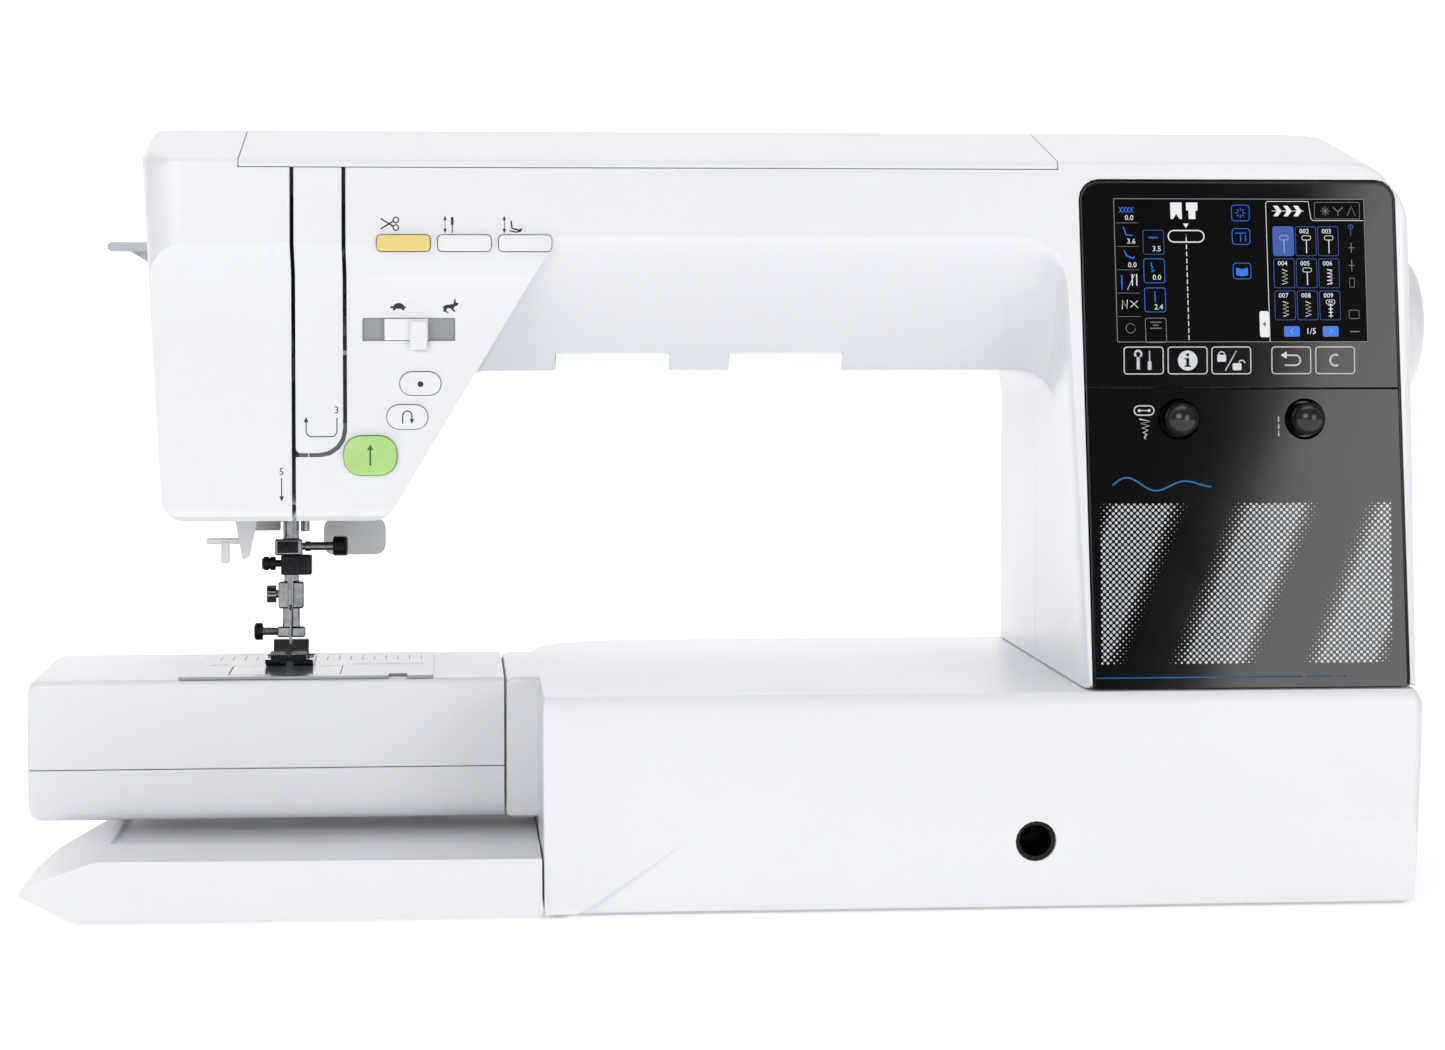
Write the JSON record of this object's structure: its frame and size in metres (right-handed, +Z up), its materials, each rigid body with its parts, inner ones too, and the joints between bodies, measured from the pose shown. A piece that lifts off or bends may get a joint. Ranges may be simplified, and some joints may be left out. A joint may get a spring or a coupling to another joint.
{
  "type": "sewing machine",
  "caption": "Long-arm computerised sewing machine with free arm, touch panel, two selector knobs, key row, speed slider, top lid, handwheel and moving needle and presser bars.",
  "frame": {"origin": "middle of the machine's footprint box, on the surface that its feet stand on", "axes": "+X towards the handwheel along the arm, +Y to the rear, +Z up; the operator sits at -Y"},
  "size_m": [0.5902, 0.247, 0.3135],
  "materials": {
    "white_shell": "moulded white ABS, fine satin gloss",
    "pale_grey": "moulded pale grey ABS",
    "black_gloss": "polished black acrylic with printing behind it",
    "knob_black": "moulded black ABS, satin",
    "yellow_key": "moulded amber yellow ABS",
    "green_key": "translucent green ABS over a lamp",
    "clear_plastic": "moulded clear plastic",
    "nickel_steel": "nickel-plated or ground steel",
    "black_steel": "black oxide steel",
    "cast_alloy": "die-cast aluminium, as cast",
    "black_rubber": "moulded rubber",
    "circuit_board": "green solder mask on glass laminate",
    "zinc_steel": "zinc-plated steel can",
    "bronze": "oil-soaked sintered bronze"
  },
  "bodies": {
    "root": {"base_housing": "white_shell", "base_extension": "white_shell", "free_arm_upper_cover": "white_shell", "free_arm_lower_cover": "white_shell", "arm_front_cover": "white_shell", "arm_rear_cover": "white_shell", "face_cover": "white_shell", "thread_channel_cover": "white_shell", "bottom_plate": "pale_grey", "spool_tray": "pale_grey", "spool_pin": "pale_grey", "thread_cutter": "pale_grey", "display_panel": "black_gloss", "lower_panel": "black_gloss", "power_inlet": "knob_black", "lamp_lens_left": "clear_plastic", "lamp_lens_right": "clear_plastic", "needle_plate": "nickel_steel", "chassis_frame": "cast_alloy", "foot_front_left": "black_rubber", "foot_front_right": "black_rubber", "foot_rear_left": "black_rubber", "foot_rear_right": "black_rubber", "drive_belt": "black_rubber", "control_board": "circuit_board", "main_motor": "zinc_steel", "shaft_bush": "bronze"},
    "lid": {"top_lid": "white_shell"},
    "drive": {"main_shaft": "nickel_steel", "main_pulley": "cast_alloy", "handwheel": "white_shell"},
    "motor_drive": {"motor_pulley": "nickel_steel"},
    "lower_drive": {"lower_shaft": "nickel_steel"},
    "hook": {"rotary_hook": "nickel_steel"},
    "bobbin": {"bobbin": "clear_plastic"},
    "needle_slide": {"needle_bar": "nickel_steel", "needle_clamp": "nickel_steel", "needle_clamp_screw": "black_steel", "needle": "nickel_steel"},
    "presser": {"presser_bar": "nickel_steel", "foot_holder": "nickel_steel", "presser_foot": "nickel_steel"},
    "lifter": {"presser_lifter_lever": "pale_grey"},
    "threader_lever": {"threader_lever": "pale_grey"},
    "threader": {"needle_threader": "white_shell"},
    "take_up": {"take_up_lever": "nickel_steel"},
    "thread_cut_button": {"thread_cut_button": "yellow_key"},
    "needle_position_button": {"needle_position_button": "white_shell"},
    "presser_lift_button": {"presser_lift_button": "white_shell"},
    "lock_stitch_button": {"lock_stitch_button": "white_shell"},
    "reverse_button": {"reverse_button": "white_shell"},
    "start_stop_button": {"start_stop_button": "green_key"},
    "speed_slider": {"speed_slider": "white_shell"},
    "width_knob": {"width_knob": "knob_black"},
    "length_knob": {"length_knob": "knob_black"},
    "bobbin_cover": {"bobbin_cover": "clear_plastic"},
    "feed_dog": {"feed_dog": "nickel_steel"},
    "winder": {"bobbin_winder": "nickel_steel"},
    "power_switch": {"power_switch": "knob_black"},
    "knee_socket": {"knee_lifter_socket": "black_steel"}
  },
  "joints": [
    {"name": "lid_hinge", "type": "hinge", "parent": "root", "child": "lid", "pos_m": [-0.047, 0.034, 0.3135], "axis": [-1, 0, 0], "range_deg": [0, 95]},
    {"name": "handwheel_turn", "type": "hinge", "parent": "root", "child": "drive", "pos_m": [0.2343, 0, 0.2312], "axis": [1, 0, 0], "continuous": true},
    {"name": "motor_turn", "type": "hinge", "parent": "root", "child": "motor_drive", "pos_m": [0.2343, 0, 0.152], "axis": [1, 0, 0], "continuous": true},
    {"name": "lower_shaft_turn", "type": "hinge", "parent": "root", "child": "lower_drive", "pos_m": [-0.1658, 0.015, 0.045], "axis": [1, 0, 0], "continuous": true},
    {"name": "hook_turn", "type": "hinge", "parent": "root", "child": "hook", "pos_m": [-0.1953, -0.0272, 0.054], "axis": [0, 0, 1], "continuous": true},
    {"name": "bobbin_spin", "type": "hinge", "parent": "root", "child": "bobbin", "pos_m": [-0.1953, -0.0272, 0.068], "axis": [0, 0, 1], "continuous": true},
    {"name": "needle_bar_slide", "type": "slide", "parent": "root", "child": "needle_slide", "axis": [0, 0, 1], "range_m": [-0.024, 0]},
    {"name": "presser_bar_slide", "type": "slide", "parent": "root", "child": "presser", "axis": [0, 0, 1], "range_m": [0, 0.006]},
    {"name": "lifter_turn", "type": "hinge", "parent": "root", "child": "lifter", "pos_m": [-0.1668, 0.034, 0.1605], "axis": [1, 0, 0], "range_deg": [0, 50]},
    {"name": "threader_lever_slide", "type": "slide", "parent": "root", "child": "threader_lever", "axis": [0, 0, 1], "range_m": [-0.03, 0], "stiffness_N_per_m": 20, "springref_m": 0.012},
    {"name": "threader_slide", "type": "slide", "parent": "root", "child": "threader", "axis": [0, 0, 1], "range_m": [-0.03, 0]},
    {"name": "take_up_turn", "type": "hinge", "parent": "root", "child": "take_up", "pos_m": [-0.1834, -0.004, 0.232], "axis": [1, 0, 0], "range_deg": [-12, 14]},
    {"name": "thread_cut_press", "type": "slide", "parent": "root", "child": "thread_cut_button", "axis": [0, 1, 0], "range_m": [0, 0.0015], "stiffness_N_per_m": 300, "springref_m": -0.0005},
    {"name": "needle_position_press", "type": "slide", "parent": "root", "child": "needle_position_button", "axis": [0, 1, 0], "range_m": [0, 0.0015], "stiffness_N_per_m": 300, "springref_m": -0.0005},
    {"name": "presser_lift_press", "type": "slide", "parent": "root", "child": "presser_lift_button", "axis": [0, 1, 0], "range_m": [0, 0.0015], "stiffness_N_per_m": 300, "springref_m": -0.0005},
    {"name": "lock_stitch_press", "type": "slide", "parent": "root", "child": "lock_stitch_button", "axis": [0, 1, 0], "range_m": [0, 0.0015], "stiffness_N_per_m": 300, "springref_m": -0.0005},
    {"name": "reverse_press", "type": "slide", "parent": "root", "child": "reverse_button", "axis": [0, 1, 0], "range_m": [0, 0.0015], "stiffness_N_per_m": 300, "springref_m": -0.0005},
    {"name": "start_stop_press", "type": "slide", "parent": "root", "child": "start_stop_button", "axis": [0, 1, 0], "range_m": [0, 0.0015], "stiffness_N_per_m": 300, "springref_m": -0.0005},
    {"name": "speed_slide", "type": "slide", "parent": "root", "child": "speed_slider", "axis": [1, 0, 0], "range_m": [-0.008, 0.01]},
    {"name": "width_knob_turn", "type": "hinge", "parent": "root", "child": "width_knob", "pos_m": [0.163, -0.11091, 0.1945], "axis": [0, -0.9981, 0.0612], "continuous": true},
    {"name": "length_knob_turn", "type": "hinge", "parent": "root", "child": "length_knob", "pos_m": [0.2142, -0.11091, 0.1945], "axis": [0, -0.9981, 0.0612], "continuous": true},
    {"name": "bobbin_cover_tip", "type": "hinge", "parent": "root", "child": "bobbin_cover", "pos_m": [-0.1948, -0.0128, 0.0882], "axis": [-1, 0, 0], "range_deg": [0, 12]},
    {"name": "feed_dog_slide", "type": "slide", "parent": "root", "child": "feed_dog", "axis": [0, 1, 0], "range_m": [-0.0022, 0.0022]},
    {"name": "winder_turn", "type": "hinge", "parent": "root", "child": "winder", "pos_m": [0.085, -0.03, 0.2542], "axis": [0, 0, 1], "continuous": true},
    {"name": "power_switch_rock", "type": "hinge", "parent": "root", "child": "power_switch", "pos_m": [0.2531, 0.094, 0.04], "axis": [0, 1, 0], "range_deg": [0, 10]},
    {"name": "knee_socket_turn", "type": "hinge", "parent": "root", "child": "knee_socket", "pos_m": [0.104, -0.1195, 0.028], "axis": [0, -1, 0], "range_deg": [0, 25], "stiffness_Nm_per_rad": 0.05, "springref_deg": -2.86}
  ],
  "couplings": [
    {"joint": "motor_turn", "follows": "handwheel_turn", "ratio": 2.5},
    {"joint": "lower_shaft_turn", "follows": "handwheel_turn", "ratio": 1},
    {"joint": "hook_turn", "follows": "handwheel_turn", "ratio": 2},
    {"joint": "lifter_turn", "follows": "presser_bar_slide", "rad_per_m": 144.9},
    {"joint": "threader_slide", "follows": "threader_lever_slide", "ratio": 1}
  ]
}
